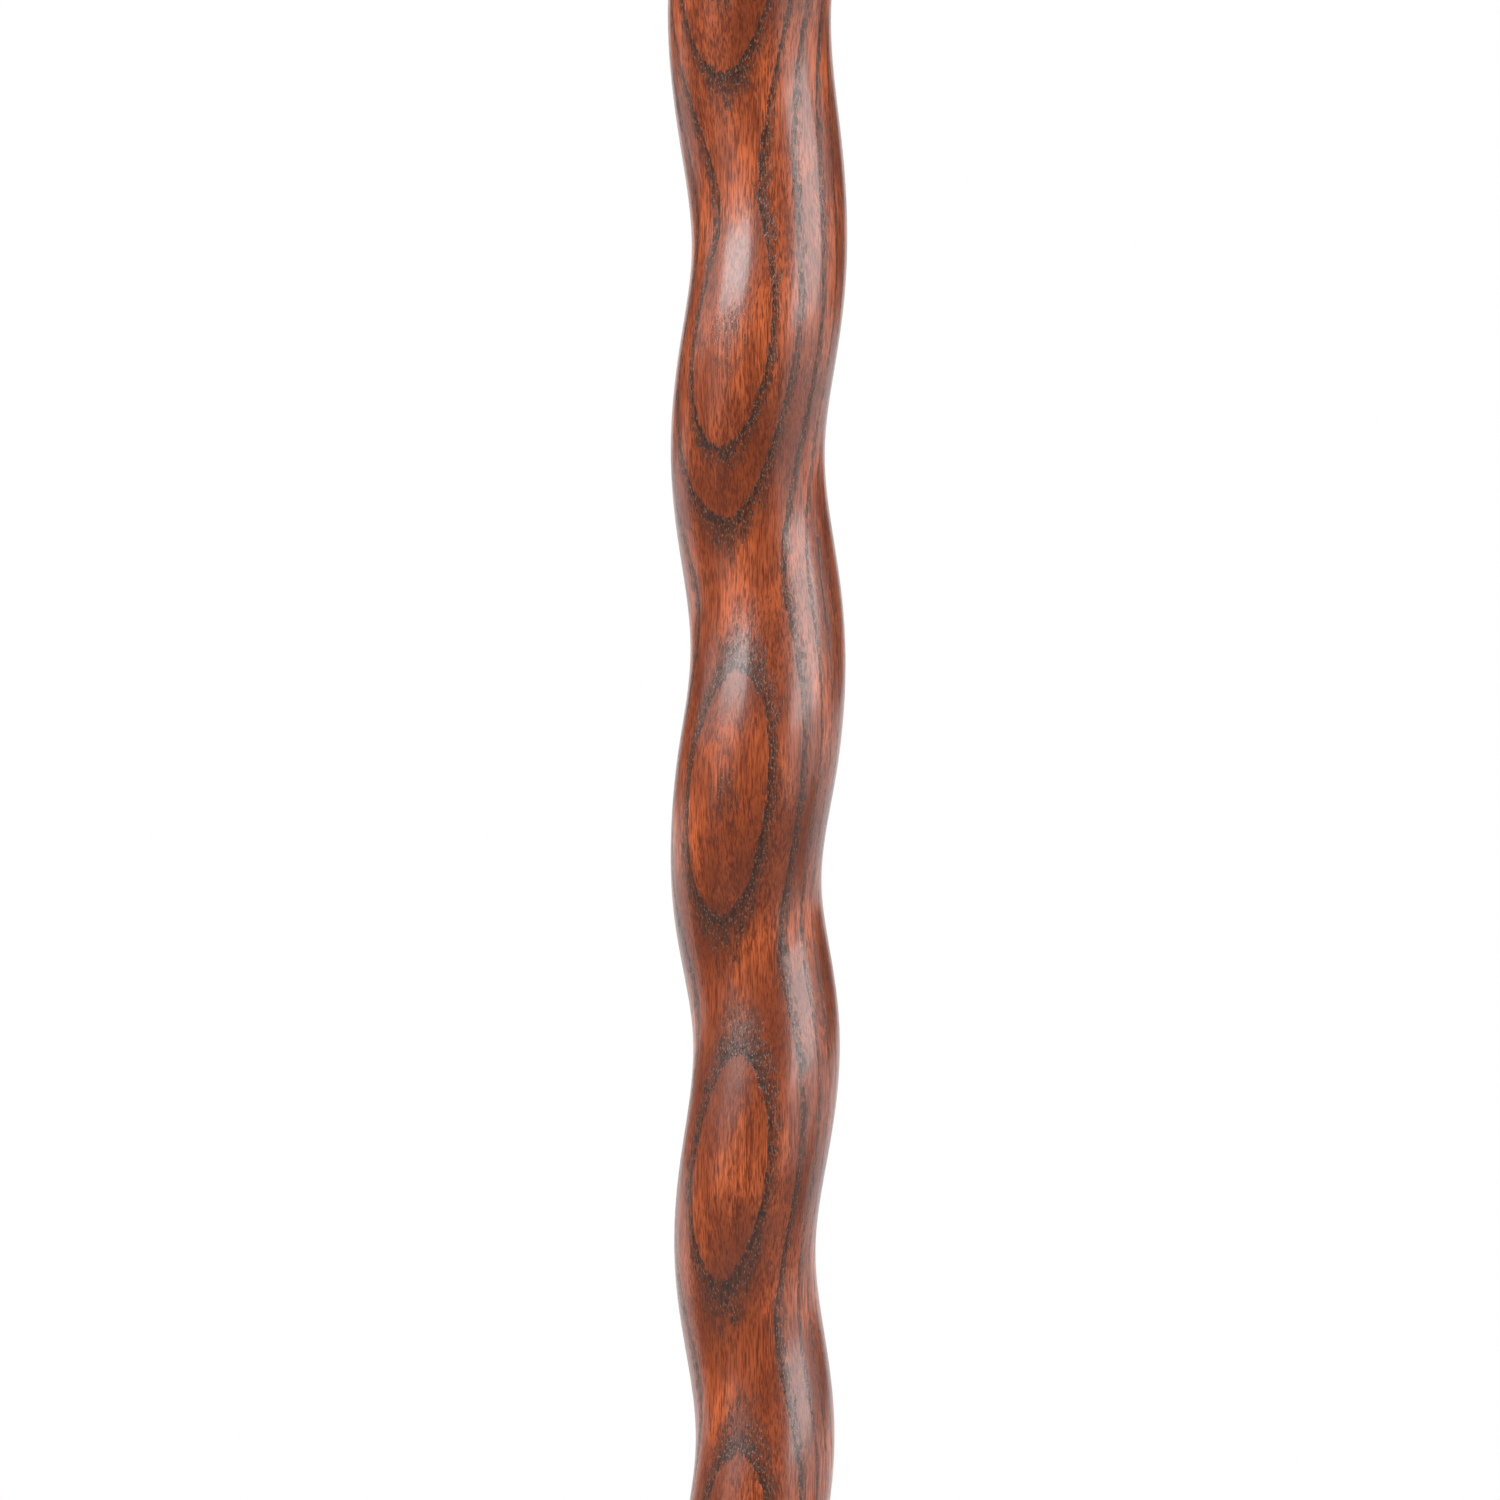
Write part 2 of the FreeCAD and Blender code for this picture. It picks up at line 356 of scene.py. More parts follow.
# %% The marks of a ring
narrow_rings, narrowing = (2.8, 5.2), 0.6
year_start, line_span = (0.0, 0.015), (0.07, 0.19)
spring_span, crowded_span = (0.16, 0.50), (0.18, 0.44)
patch_size = (1.0, 1.0, 3.6)
dash_size, cluster_size = (0.5, 0.5, 2.6), (0.9, 0.9, 4.5)


def ring_marks(wood, place, board):
    """Pored spring wood, its crowded part and the dark line at the year's start, from 0 to 1."""
    rings = ring_count(wood, place, board)
    into_ring = rings.fraction() * (1 + narrowing - rings.fade(*narrow_rings) * narrowing)
    begun = 1 - into_ring.fade(*year_start)
    patchy = wood.noise(place, patch_size, 2.0, 0.6) - 0.5
    spring = (into_ring + patchy * 0.4).fade(*spring_span) * begun
    crowded = (into_ring + patchy * 0.65).fade(*crowded_span) * begun
    year_line = (into_ring + patchy * 0.2).fade(*line_span) * begun
    dashes = wood.noise(place, dash_size, 2.0).fade(0.56, 0.44)
    return spring, crowded, year_line * (dashes * 0.8 + 0.2)


# %% [markdown]
# ### Pores, fibres and thirst
# The pores are tubes along the grain. A carved surface opens them as short dark slits, so they are
# scattered points in cells that are long and narrow: a pore is where the nearest point is near, and
# its edge says between which distances it ends. Between the pores lie fibres, which take the stain
# in streaks. Where the gouge cut across them, their open ends soaked up more stain, so the upper
# and lower slopes of each bump are darker. The piece's attribute cut_across is there for that.

# %% Sizes in the wood: across the grain twice, then along it
fibre_size = (0.24, 0.24, 6.5)
thread_size = (0.16, 0.16, 2.4)
band_size = (1.2, 1.2, 18)
blotch_size = (6, 6, 16)
wide_pore_size, wide_pore_edge = (0.50, 0.50, 2.0), (0.38, 0.50)
narrow_pore_size, narrow_pore_edge = (0.38, 0.38, 2.2), (0.24, 0.35)
fleck_size, fleck_edge = (0.42, 0.42, 4.2), (0.19, 0.33)
# painted highlights: size and edge of the pale specks that stand for light caught on pore walls
painted_glint_size, painted_glint_edge = (0.36, 0.36, 0.9), (0.18, 0.32)
hand_size = (9, 9, 14)
thirst_peak, thirst_length, thirst_depth = 392, 240, 0.05
# a darker band round the stick, centred at this height
dark_patch_at, dark_patch_spread, dark_patch_depth = 499, 500, 0.11


# %% Pores and fibres
def open_pores(wood, place, spring, crowded):
    """Wide pores in clusters where spring is crowded, and narrow ones through all of it."""
    clusters = wood.noise(place, cluster_size, 2.0).fade(0.60, 0.44)
    wide = wood.cells(place, wide_pore_size).fade(*wide_pore_edge)
    narrow = wood.cells(place, narrow_pore_size).fade(*narrow_pore_edge)
    return (wide * crowded * (clusters * 0.5 + 0.5)).at_least(narrow * spring)


def thirst(wood, place):
    """How dark the wood is at a place: patchy, slowly changing along the stick, and darker in a
    band about 499 mm up.
    """
    along = wood.apart(place)[2]
    from_patch = (along - dark_patch_at) * (along - dark_patch_at)
    slow = along.wave(thirst_peak, thirst_length) * thirst_depth
    blotches = wood.noise(place, blotch_size, 3.0, 0.6)
    return blotches + slow + from_patch.fade(0, dark_patch_spread) * dark_patch_depth


def soaked_ends(wood):
    """One where the surface cuts across the fibres."""
    cut_across = wood.strand(
        "ShaderNodeAttribute", {"attribute_name": "cut_across"}, output="Fac"
    )
    return 1 - cut_across.fade(0.03, 0.24)


# %% [markdown]
# ### The finish
# The colours go on in the order in which they came about: the summer wood under its stain, then the
# thirsty places, then the spring band, its dark line and its pores. Pale specks on a few pore walls
# are painted highlights: they stand for the light that those walls catch. Over it lies a satin
# lacquer. The shaft's is thick enough for a second, glossier layer. The handle's is worn matt by
# the hand, which is what the number worn says.

# %% The colours of the stain
stain = {
    "pale streak": swatch(182, 91, 51), "dark streak": swatch(94, 40, 22),
    "fleck": swatch(78, 35, 19), "thirsty": swatch(84, 36, 21), "soaked end": swatch(76, 33, 20),
    "spring": swatch(74, 39, 25), "year line": swatch(54, 32, 23), "pore": swatch(42, 27, 21),
    # painted highlight: the pale colour of light caught on pore walls, not a colour of the stain
    "painted glint": swatch(165, 118, 90),
}


# %% Ash, stained and lacquered
def stained_ash(name, board, worn):
    """Ring-porous hardwood, stained red-brown and lacquered. Its grain runs along z."""
    wood = PatternRecipe(name)
    place = wood.place(board["turn"])
    spring, crowded, year_line = ring_marks(wood, place, board)
    holes = open_pores(wood, place, spring, crowded)
    fibres = wood.noise(place, fibre_size, 3.0, 0.64)
    threads = wood.noise(place, thread_size, 2.0, 0.6)
    bands = wood.noise(place, band_size, 2.0, 0.55)
    streaks = (fibres * 0.62 + threads * 0.38 + bands * 0.24 - 0.12).fade(0.61, 0.42)
    flecks = wood.cells(place, fleck_size).fade(*fleck_edge)
    # painted highlights: pale specks in the crowded spring band, standing for light on pore walls
    painted_glints = wood.cells(place, painted_glint_size).fade(*painted_glint_edge) * crowded

    colour = wood.blend(streaks, stain["pale streak"], stain["dark streak"])
    coats = [
        (flecks * 0.5, "fleck"),
        (thirst(wood, place).fade(0.60, 0.38) * 0.5, "thirsty"),
        (soaked_ends(wood) * 0.7, "soaked end"),
        (crowded * 0.6, "spring"),
        (year_line, "year line"),
        (holes * 0.92, "pore"),
        # painted highlights on pore walls, mixed into the colour
        (painted_glints * 0.35, "painted glint"),
    ]
    for share, coat in coats:
        colour = wood.blend(share, colour, stain[coat])

    hand = wood.noise(place, hand_size, 1.0)
    height = fibres * 0.022 + threads * 0.006 - holes * 0.07 - flecks * 0.008 + hand * 0.2
    wood.set(
        Base_Color=colour,
        Roughness=holes * 0.15 + streaks * 0.05 + (0.29 + 0.12 * worn),
        Normal=wood.bump(height),
        Specular_IOR_Level=0.45 - 0.17 * worn,
        Coat_Weight=0.45 - 0.33 * worn,
        Coat_Roughness=0.15,
        Coat_IOR=1.5,
    )
    return wood.material


shaft_wood = stained_ash("stained_ash_shaft", shaft_board, worn=0)
handle_wood = stained_ash("stained_ash_handle", handle_board, worn=1)
print("nodes in the wood:", len(shaft_wood.node_tree.nodes))

# %% [markdown]
# ## The carved shaft
# The real shaft starts as a turned taper. The carver then marks a spiral and takes wood away with a
# spokeshave until the round section winds round the old axis. Here a circle could be swept along a
# bent curve, or a ring carried up the stick and moved a little at every step. The second keeps
# every section in hand, so the uneven quarter turns of handwork can be given one by one.

# %% Sizes of the shaft
tip_radius = 9.4 * mm
head_radius = 15.95 * mm
plain_foot = 84.0 * mm
shoulder_length = 18.0 * mm
shoulder_slope_share = 0.35
shoulder_radius = collar_radius - 0.35 * mm
spigot_radius = 9.0 * mm
spigot_chamfer = 1.0 * mm
tenon_radius = 11.45 * mm
bore_radius = 4.05 * mm
bore_depth = 43 * mm
turned_round = 0.25 * mm
head_height = shaft_shoulder - shoulder_length
print("taper from", tip_radius * 2, "to", head_radius * 2, "m across")

# %% Sizes of the twist
twist_low = ferrule_top + plain_foot
twist_pitch = 68.0 * mm
twist_offset = 1.75 * mm
fade_length = 45.0 * mm
quarter_turns = 36
# Each quarter turn's length and thickness, as shares of the mean. They come round again and again.
quarter_turn_shares = [
    (0.86, 1.001), (0.85, 1.0), (1.07, 1.005), (1.07, 1.066),
    (1.0, 1.012), (0.99, 0.999), (1.02, 0.985), (1.01, 0.994),
    (1.13, 0.97), (1.13, 1.003), (1.08, 1.001), (0.93, 1.0),
    (0.94, 0.989), (0.94, 0.985), (0.98, 0.986), (0.98, 1.003),
]
turn_ease = 6 * mm
thickness_ease = 8 * mm


# %% The carver's marks
def quarter_marks():
    """(height, turn, thickness share) at each quarter turn, as the carver marked them."""
    shares = quarter_turn_shares
    mean = sum(length for length, thickness in shares) / len(shares)
    height = twist_low
    marks = []
    for k in range(quarter_turns):
        length, thickness = shares[k % len(shares)]
        marks.append((height, k * math.pi / 2, thickness))
        height += twist_pitch / 4 * length / mean
    marks.append((height, quarter_turns * math.pi / 2, thickness))
    return marks


marks = quarter_marks()
twist_high = marks[-1][0]
print("twist from", round(twist_low, 4), "to", round(twist_high, 4), "m")


# %% How the twist runs between the marks
def between_marks(height, column):
    """A mark's turn or thickness at any height, in straight lines between the marks."""
    for low, high in zip(marks, marks[1:]):
        if height <= high[0]:
            share = max((height - low[0]) / (high[0] - low[0]), 0)
            return low[column] + (high[column] - low[column]) * share
    return marks[-1][column]


def eased(height, column, reach):
    """The same, averaged over a short reach, because a spokeshave leaves no kinks."""
    steps = range(-4, 5)
    weights = [5 - abs(step) for step in steps]
    values = [between_marks(height + reach * step / 4, column) for step in steps]
    return sum(w * v for w, v in zip(weights, values)) / sum(weights)


def smooth_step(share):
    """Nought below 0, one above 1, and an even curve between."""
    inside = min(max(share, 0), 1)
    return inside * inside * (3 - 2 * inside)


# %% [markdown]
# A section of the stick is a circle cut square to the winding centre line, so it leans a little.
# Its place is written as one matrix: two directions across, one along, and the centre. Carrying the
# ring from one section to the next is then a single transform.

# %% The place of a ring
def ring_place(height, radius, offset=0, turn=0, rate=0):
    """The matrix that puts a flat unit ring onto the stick. With an offset, the ring leans."""
    outward = Vector((math.cos(turn), math.sin(turn), 0))
    onward = Vector((-math.sin(turn), math.cos(turn), 0))
    heading = (Vector((0, 0, 1)) + onward * (offset * rate)).normalized()
    front = (Vector((1, 0, 0)) - heading * heading.x).normalized()
    side = heading.cross(front)
    leaning = Matrix((front, side, heading)).transposed().to_4x4()
    centre = outward * offset + Vector((0, 0, height))
    return Matrix.Translation(centre) @ leaning @ Matrix.Scale(radius, 4)


def carved_place(height):
    """The ring's place in the carved part of the shaft, where the twist fades in and out."""
    fade_in = smooth_step((height - twist_low) / fade_length)
    fade_out = smooth_step((twist_high - height) / fade_length)
    share = min(fade_in, fade_out)
    up_the_taper = (height - ferrule_top) / (head_height - ferrule_top)
    radius = tip_radius + (head_radius - tip_radius) * up_the_taper
    radius *= 1 + (eased(height, 2, thickness_ease) - 1) * share
    turn = eased(height, 1, turn_ease)
    rate = (eased(height + mm, 1, turn_ease) - eased(height - mm, 1, turn_ease)) / (2 * mm)
    return ring_place(height, radius, twist_offset * share, turn, rate)


# %% The rings of the whole shaft, from the spigot to the bore for the stud
ring_spacing = 1.8 * mm
shoulder_rings = 12


def turned_foot():
    """The rings of the spigot inside the ferrule and of the ledge above it."""
    low = shaft_low.z
    return [
        ring_place(low, spigot_radius - spigot_chamfer),
        ring_place(low + spigot_chamfer, spigot_radius),
        ring_place(ferrule_top - turned_round, spigot_radius),
        ring_place(ferrule_top, spigot_radius),
        ring_place(ferrule_top, tip_radius - turned_round),
        ring_place(ferrule_top + turned_round, tip_radius),
    ]


def turned_head():
    """The rings of the shoulder under the collar, of the tenon and of the bore."""
    places = []
    for step in range(1, shoulder_rings + 1):
        share = step / shoulder_rings
        slope = share * share * (1 - shoulder_slope_share) + share * shoulder_slope_share
        radius = head_radius - (head_radius - shoulder_radius) * slope
        places.append(ring_place(head_height + shoulder_length * share, radius))
    places += [
        ring_place(shaft_shoulder, tenon_radius),
        ring_place(shaft_high.z, tenon_radius),
        ring_place(shaft_high.z, bore_radius),
        ring_place(shaft_high.z - bore_depth, bore_radius),
    ]
    return places


def carved_rings():
    """The rings between, evenly spaced from the ledge to the shoulder."""
    steps = round((head_height - ferrule_top) / ring_spacing)
    rise = (head_height - ferrule_top) / steps
    return [carved_place(ferrule_top + rise * step) for step in range(1, steps + 1)]


shaft_places = turned_foot() + carved_rings() + turned_head()
print("rings in the shaft:", len(shaft_places))


# %% Carry the ring up the stick
def build_shaft(places, corners_round):
    """Leaves a band of faces behind at every step of one ring."""
    bm = bmesh.new()
    bmesh.ops.create_circle(
        bm, cap_ends=True, segments=corners_round, radius=1.0, matrix=places[0]
    )
    ring = bm.edges[:]
    for before, after in zip(places, places[1:]):
        grown = bmesh.ops.extrude_edge_only(bm, edges=ring)["geom"]
        ring = [part for part in grown if isinstance(part, bmesh.types.BMEdge)]
        corners = [part for part in grown if isinstance(part, bmesh.types.BMVert)]
        bmesh.ops.transform(bm, matrix=after @ before.inverted(), verts=corners)
    bmesh.ops.contextual_create(bm, geom=ring)
    merge_and_turn_out(bm)
    note_cut_across(bm, Vector((0, 0, 1)))
    finish_piece(bm, "carved_shaft", "stick", shaft_wood, 35, "shaft")


build_shaft(shaft_places, 72)

# %% [markdown]
# ## The derby handle
# A derby handle is sawn from a board to its side view, then rounded over until it fills the palm,
# and its stem is turned to meet the collar. The same order works here: the outline is drawn by
# carrying a point round each arc, the board is given its thickness, its edges are rounded over, and
# a fine voxel remesh melts the facets together so that the stem can be turned and the whole sanded
# smooth. Subdividing a coarse cage would be quicker, but it pulls the arcs in.

# %% Sizes of the handle
handle_thickness = handle_high.y - handle_low.y
nose_radius = 11.0 * mm
nose_rise = 15.5 * mm
tail_radius = 11.5 * mm
tail_rise = 27.5 * mm
back_reach = 22.0 * mm
belly_reach = 40.0 * mm
belly_rise = 15.5 * mm
stem_radius = 13.7 * mm
stem_front_radius = 12.0 * mm
stem_back_radius = 10.0 * mm
handle_rounding = 9.6 * mm
peg_radius, peg_length, peg_drop = 11.4 * mm, 10 * mm, 4 * mm
arc_step = 1.4 * mm
print("the handle is", round(handle_thickness, 4), "m thick")


# %% Drawing with a point
def side_point(reach, height):
    """A point in the plane of the handle's side view."""
    return Vector((reach, 0, height))


def draw_to(bm, point, place):
    """Draws a straight edge from the point to a place, and returns the new point."""
    moved = bmesh.ops.extrude_vert_indiv(bm, verts=[point])["verts"][0]
    moved.co = place
    return moved


def draw_round(bm, point, centre, place, hollow=False):
    """Carries the point round a centre as far as a place: bulging, or hollow."""
    start = math.atan2(point.co.z - centre.z, point.co.x - centre.x)
    end = math.atan2(place.z - centre.z, place.x - centre.x)
    sweep = (end - start) % (2 * math.pi)
    if hollow:
        sweep -= 2 * math.pi
    length = abs(sweep) * (place - centre).length
    swept = bmesh.ops.spin(
        bm, geom=[point], cent=centre, axis=(0, -1, 0), angle=sweep,
        steps=max(round(length / arc_step), 2), use_duplicate=False,
    )
    last = [part for part in swept["geom_last"] if isinstance(part, bmesh.types.BMVert)][0]
    last.co = place
    return last


# %% [markdown]
# The outline is a chain of arcs that run into each other without a corner. Two arcs meet smoothly
# where their centres and the meeting point are in one line, so every centre below comes from one of
# these sums: the top of the back is level, the belly starts level, and the heel touches the tail.

# %% Centres of the arcs
def level_centre(cap, cap_radius, level, side):
    """Centre of the arc that runs level at one place and touches an end's cap.

    Side is 1 for an arc that curves down from its level place, -1 for one that curves up.
    """
    reach = cap.x - level.x
    drop = level.z - cap.z
    square = reach * reach + drop * drop - cap_radius * cap_radius
    return side_point(level.x, level.z - square / (drop - cap_radius * side) / 2)


def touch(cap, cap_radius, centre, side):
    """Where an arc about centre meets an end's cap."""
    return cap + (centre - cap).normalized() * (cap_radius * side)


nose = side_point(handle_high.x - nose_radius, handle_base + nose_rise)
tail = side_point(handle_low.x + tail_radius, handle_base + tail_rise)
top = side_point(back_reach, handle_high.z)
belly = side_point(belly_reach, handle_base + belly_rise)
throat = side_point(stem_radius + stem_front_radius, belly.z - stem_front_radius)
front = level_centre(nose, nose_radius, top, 1)
rear = level_centre(tail, tail_radius, top, 1)
under = level_centre(nose, nose_radius, belly, -1)
heel_x = -stem_radius - stem_back_radius
heel_rise = math.sqrt((stem_back_radius + tail_radius) ** 2 - (tail.x - heel_x) ** 2)
heel = side_point(heel_x, tail.z - heel_rise)
print("radius of the back towards the nose:", round((top - front).length, 3), "m")


# %% The handle's outline
def draw_handle(bm):
    """Draws the side view from the collar up: stem, belly, nose, back, tail and heel."""
    start = bm.verts.new(side_point(-stem_radius, handle_base))
    pen = draw_to(bm, start, side_point(stem_radius, handle_base))
    pen = draw_to(bm, pen, side_point(stem_radius, throat.z))
    pen = draw_round(bm, pen, throat, side_point(throat.x, belly.z), hollow=True)
    pen = draw_to(bm, pen, belly)
    pen = draw_round(bm, pen, under, touch(nose, nose_radius, under, 1), hollow=True)
    pen = draw_round(bm, pen, nose, touch(nose, nose_radius, front, -1))
    pen = draw_round(bm, pen, front, top)
    pen = draw_round(bm, pen, rear, touch(tail, tail_radius, rear, -1))
    pen = draw_round(bm, pen, tail, touch(tail, tail_radius, heel, 1))
    pen = draw_round(bm, pen, heel, side_point(-stem_radius, heel.z), hollow=True)
    bm.edges.new((pen, start))
    return bmesh.ops.contextual_create(bm, geom=bm.edges[:])["faces"][0]


# %% Thickness and rounding
def rim_edges(bm):
    """The board's edges that run round its two sides, apart from the sawn foot of the stem."""
    near = mm / 10
    rims = []
    for edge in bm.edges:
        a, b = (corner.co for corner in edge.verts)
        if abs(a.y - b.y) < near and max(a.z, b.z) > handle_base + near:
            rims.append(edge)
    return rims


def handle_blank():
    """The sawn board with its edges rounded over, and the peg that goes into the collar."""
    bm = bmesh.new()
    side = draw_handle(bm)
    half = Vector((0, handle_thickness / 2, 0))
    bmesh.ops.translate(bm, vec=-half, verts=side.verts[:])
    grown = bmesh.ops.extrude_face_region(bm, geom=[side])["geom"]
    corners = [part for part in grown if isinstance(part, bmesh.types.BMVert)]
    bmesh.ops.translate(bm, vec=half * 2, verts=corners)
    bmesh.ops.recalc_face_normals(bm, faces=bm.faces)
    bmesh.ops.bevel(
        bm, geom=rim_edges(bm), offset=handle_rounding, affect="EDGES", segments=7,
        profile=0.5, material=-1, clamp_overlap=False,
    )
    bmesh.ops.create_cone(
        bm, cap_ends=True, segments=64, radius1=peg_radius, radius2=peg_radius,
        depth=peg_length, matrix=Matrix.Translation((0, 0, handle_base - peg_drop)),
    )
    return bm


# %% One skin
voxel = 0.7 * mm


def melted(bm):
    """The same form as one even skin, by a voxel remesh."""
    stand = put_in_scene("rough", off_the_bench(bm, "rough"))
    remesh = stand.modifiers.new("melt", "REMESH")
    remesh.mode = "VOXEL"
    remesh.voxel_size = voxel
    ready = stand.evaluated_get(bpy.context.evaluated_depsgraph_get())
    even = bmesh.new()
    even.from_mesh(ready.data)
    bpy.data.objects.remove(stand)
    return even


# %% Turning the stem and sanding
sanding_rounds = 8


def turn_stem(bm):
    """Brings the square stem to the round of the collar, and lets it flare into the handle."""
    bend = handle_base + belly_rise - stem_front_radius
    low, high = handle_base - mm / 2, bend + 12 * mm
    widest, flare = 24 * mm, 9 * mm
    for corner in bm.verts:
        reach = math.hypot(corner.co.x, corner.co.y)
        above = max(corner.co.z - bend, 0)
        allowed = stem_radius + above * above / flare
        on_stem = low < corner.co.z < high and abs(corner.co.x) < widest
        if on_stem and reach > allowed:
            corner.co.x *= allowed / reach
            corner.co.y *= allowed / reach


def build_handle():
    """Melts the blank into one skin, turns its stem round and sands it."""
    bm = melted(handle_blank())
    turn_stem(bm)
    for sanding in range(sanding_rounds):
        bmesh.ops.smooth_vert(
            bm, verts=bm.verts, factor=0.5, use_axis_x=True, use_axis_y=True, use_axis_z=True
        )
    merge_and_turn_out(bm)
    note_cut_across(bm, Vector((1, 0, 0)))
    finish_piece(bm, "derby_handle", "stick", handle_wood, 60, "handle")


build_handle()

# %% [markdown]
# ## Turned pieces: collar and ferrule
# Both are round about the stick, so each is one half section carried once round it. Their corners
# are then broken by a small bevel, because no turned or moulded edge is knife sharp and the tiny
# rounds are what catches the light.

# %% Spinning a half section
def turned_piece(points, steps):
    """A closed half section of (radius, height) points, spun once round the stick's axis."""
    bm = bmesh.new()
    first = bm.verts.new((points[0][0], 0, points[0][1]))
    pen = first
    for radius, height in points[1:]:
        pen = draw_to(bm, pen, Vector((radius, 0, height)))
    if points[0][0] > 0:
        bm.edges.new((pen, first))
    bmesh.ops.spin(
        bm, geom=bm.verts[:] + bm.edges[:], cent=(0, 0, 0), axis=(0, 0, 1),
        angle=2 * math.pi, steps=steps, use_merge=True, use_duplicate=False,
    )
    merge_and_turn_out(bm)
    return bm


def break_edges(bm, size, sharper_than):
    """Bevels every edge that turns by more than an angle."""
    limit = math.radians(sharper_than)
    sharp = [edge for edge in bm.edges if edge.calc_face_angle(0) > limit]
    bmesh.ops.bevel(
        bm, geom=sharp, offset=size, affect="EDGES", segments=2, profile=0.5, material=-1
    )
    merge_and_turn_out(bm)
    print("edges broken:", len(sharp))


# %% [markdown]
# The collar hides the glue line between shaft and handle. Such rings are turned from brass tube,
# with a bead at each end and a fine line beside it, and lacquered against fingers. Turning leaves
# hair lines that run round the ring, so its sheen is streaky one way only.

# %% Brass
def brushed_brass():
    """Lacquered brass with the hair lines of the lathe."""
    brass = PatternRecipe("brushed_brass")
    place = brass.place()
    hair_lines = brass.noise(place, (40, 40, 0.10), 3.0, 0.7)
    tarnish = brass.noise(place, (4, 4, 3), 3.0, 0.5)
    spots = brass.cells(place, (2.6, 2.6, 2.2)).fade(0.04, 0.10)
    bright, dull, spotted = swatch(212, 176, 108), swatch(192, 152, 88), swatch(120, 84, 48)
    colour = brass.blend(tarnish.fade(0.70, 0.35), bright, dull)
    brass.set(
        Base_Color=brass.blend(spots * 0.3, colour, spotted),
        Metallic=1.0,
        Roughness=0.16 + hair_lines * 0.22 + tarnish * 0.05,
        Normal=brass.bump(hair_lines * 0.010),
        Coat_Weight=0.3,
        Coat_Roughness=0.12,
    )
    return brass.material


brass = brushed_brass()
print("nodes in the brass:", len(brass.node_tree.nodes))

# %% Sizes of the collar
collar_bore = 11.5 * mm
bead_length = 2.7 * mm
bead_round = 0.5 * mm
barrel_radius = collar_radius - 0.35 * mm
line_radius = barrel_radius - 0.25 * mm
line_start, line_end, barrel_start = 2.9 * mm, 3.3 * mm, 3.5 * mm
collar_edge = 0.12 * mm


# %% The collar
def build_collar():
    """A brass ring with a bead at each end and a fine turned line beside each bead."""
    low = shaft_shoulder
    half = [
        (collar_bore, low), (collar_radius - bead_round, low),
        (collar_radius, low + bead_round), (collar_radius, low + bead_length - bead_round),
        (collar_radius - bead_round, low + bead_length),
        (line_radius, low + line_start), (line_radius, low + line_end),
        (barrel_radius, low + barrel_start),
    ]
    other_half = [(radius, low + handle_base - height) for radius, height in reversed(half)]
    bm = turned_piece(half + other_half, 128)
    break_edges(bm, collar_edge, 30)
    finish_piece(bm, "brass_collar", "stick", brass, 50, "collar")


build_collar()

# %% [markdown]
# The ferrule is moulded rubber. It grips the spigot by its own stretch, has a broad foot with rings
# in its sole, and is thicker at its mouth where it would split. Rubber is nearly black but never
# quite even: the mould leaves a soft grain, and the foot picks up dust and scuffs.

# %% Rubber
def black_rubber():
    """Moulded rubber, dusty and a little scuffed towards the ground."""
    rubber = PatternRecipe("black_rubber")
    place = rubber.place()
    height = rubber.apart(place)[2]
    grain = rubber.noise(place, (0.35, 0.35, 0.35), 2.0, 0.6)
    smears = rubber.noise(place, (7, 7, 2.5), 4.0, 0.65)
    dust = height.fade(0.0, 14.0) * (1 - smears.fade(0.40, 0.66)) * 0.45
    colour = rubber.blend(smears.fade(0.65, 0.35), swatch(31, 30, 30), swatch(24, 23, 23))
    rubber.set(
        Base_Color=rubber.blend(dust, colour, swatch(74, 69, 63)),
        Roughness=0.52 + grain * 0.2 + dust * 0.3,
        Normal=rubber.bump(grain * 0.03),
        Specular_IOR_Level=0.4,
    )
    return rubber.material


rubber = black_rubber()
print("nodes in the rubber:", len(rubber.node_tree.nodes))

# %% Sizes of the ferrule
foot_radius = (sole_high.x - sole_low.x) / 2 - 0.01 * mm
socket_radius = spigot_radius + 0.05 * mm
sleeve_radius = socket_radius + 3.1 * mm
mouth_radius = sleeve_radius + 0.9 * mm
sole_hollow, hollow_share = 0.9 * mm, 0.2
groove_shares, groove_depth = (0.4, 0.6, 0.8), 1.3 * mm
groove_mouth, groove_bed = 1.2 * mm, 0.8 * mm
foot_height, rim_inset, rim_rise = 8 * mm, 1.4 * mm, 1.5 * mm
flare_low, flare_rise, flare_steps, flare_bend = 8.3 * mm, 4.2 * mm, 6, 1.6
flare_inset = 0.6 * mm
rib_low, rib_pitch, rib_count = 17 * mm, 6.5 * mm, 3
rib_depth, rib_slope, rib_flat = 0.7 * mm, 0.8 * mm, 1.4 * mm
mouth_height, mouth_slope = 6.2 * mm, 0.6 * mm
ferrule_edge = 0.25 * mm


# %% The half section of the ferrule
def sole_section():
    """The underside and the foot: a hollow middle, three grooves and a chamfered rim."""
    points = [
        (0, sole_hollow), (foot_radius * hollow_share, sole_hollow),
        (foot_radius * hollow_share, 0),
    ]
    for share in groove_shares:
        middle = foot_radius * share
        points += [
            (middle - groove_mouth, 0), (middle - groove_bed, groove_depth),
            (middle + groove_bed, groove_depth), (middle + groove_mouth, 0),
        ]
    points += [(foot_radius - rim_inset, 0), (foot_radius, rim_rise), (foot_radius, foot_height)]
    return points


